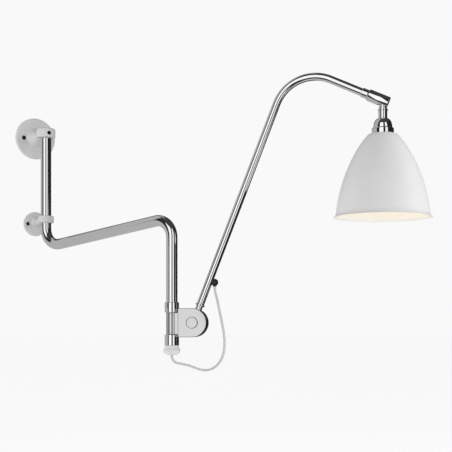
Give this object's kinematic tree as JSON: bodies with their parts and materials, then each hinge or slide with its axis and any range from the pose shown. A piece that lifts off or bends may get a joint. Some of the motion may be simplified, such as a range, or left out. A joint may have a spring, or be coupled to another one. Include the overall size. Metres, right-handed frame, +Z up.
{
  "type": "swing arm wall sconce",
  "caption": "Wall sconce with a swinging Z-shaped tube, a swivelling and tilting knuckle, a long bent arm and a white bell shade on a ball joint.",
  "frame": {"origin": "centre of the upper wall plate's back face, on the wall", "axes": "+Z up, +Y into the wall, +X to the right of someone facing the wall"},
  "size_m": [0.5123, 0.6215, 0.4884],
  "materials": {
    "bracket_paint": "satin light grey stove enamel",
    "chrome": "polished chrome plate",
    "plain_steel": "machined steel, not seen",
    "black_steel": "blackened steel",
    "black_plastic": "glossy black moulding",
    "nylon": "natural nylon",
    "fibre": "friction fibre",
    "white_plastic": "white moulding",
    "flex": "white round flex",
    "shade_paint": "satin white stove enamel",
    "brass": "plain brass",
    "bulb_glass": "opal glass",
    "lamp_element": "light element"
  },
  "bodies": {
    "wall_brackets": {"upper_bracket": "bracket_paint", "lower_bracket": "bracket_paint", "terminal_block": "nylon", "wall_flex": "flex", "clamp_grub_screw": "black_steel", "clamp_bush": "nylon", "ring_bush": "nylon"},
    "lower_arm": {"lower_arm_tube": "chrome", "column_flex": "flex", "swivel_spindle": "plain_steel", "upper_collar": "chrome", "thrust_washers": "nylon", "lower_collar": "chrome", "collar_set_screws": "black_steel", "end_cap": "white_plastic"},
    "knuckle": {"knuckle_housing": "chrome", "elbow_pin": "plain_steel", "pin_buttons": "chrome", "friction_washers": "fibre", "cord_loop": "flex"},
    "upper_arm": {"elbow_tongue": "chrome", "arm_ferrule": "chrome", "upper_arm_tube": "chrome", "arm_flex": "flex", "cord_bush": "black_plastic", "tip_ring": "chrome", "tip_spindle": "plain_steel"},
    "swivel_cup": {"swivel_cup": "chrome", "ball_seat": "nylon", "seat_springs": "plain_steel"},
    "ball_stem": {"ball_stem": "chrome", "spin_ring": "chrome", "spin_nut": "plain_steel"},
    "shade_head": {"head_neck": "chrome", "dome_cover": "chrome", "shade_gallery": "chrome", "shade": "shade_paint", "shade_ring": "white_plastic", "lampholder": "white_plastic", "holder_contacts": "brass", "bulb_cap": "plain_steel", "bulb_glass": "bulb_glass", "bulb_filament": "lamp_element"}
  },
  "joints": [
    {"name": "wall_swing", "type": "hinge", "parent": "wall_brackets", "child": "lower_arm", "pos_m": [0, -0.06, -0.08], "axis": [0, 0, 1], "range_deg": [-110, 59]},
    {"name": "knuckle_swivel", "type": "hinge", "parent": "lower_arm", "child": "knuckle", "pos_m": [0.12485, -0.32175, -0.345], "axis": [0, 0, 1], "range_deg": [-170, 120]},
    {"name": "elbow_tilt", "type": "hinge", "parent": "knuckle", "child": "upper_arm", "pos_m": [0.15313, -0.34482, -0.345], "axis": [0.632, 0.7749, 0], "range_deg": [-21, 69], "deforming": ["cord_loop"]},
    {"name": "cup_roll", "type": "hinge", "parent": "upper_arm", "child": "swivel_cup", "pos_m": [0.39429, -0.5415, 0.01316], "axis": [0.7079, -0.5774, -0.4067], "range_deg": [-160, 160]},
    {"name": "head_tilt", "type": "hinge", "parent": "swivel_cup", "child": "ball_stem", "pos_m": [0.39429, -0.5415, 0.01316], "axis": [-0.632, -0.7749, 0], "range_deg": [-24, 66]},
    {"name": "shade_spin", "type": "hinge", "parent": "ball_stem", "child": "shade_head", "pos_m": [0.39429, -0.5415, -0.00685], "axis": [0, 0, 1], "range_deg": [-160, 160]}
  ]
}
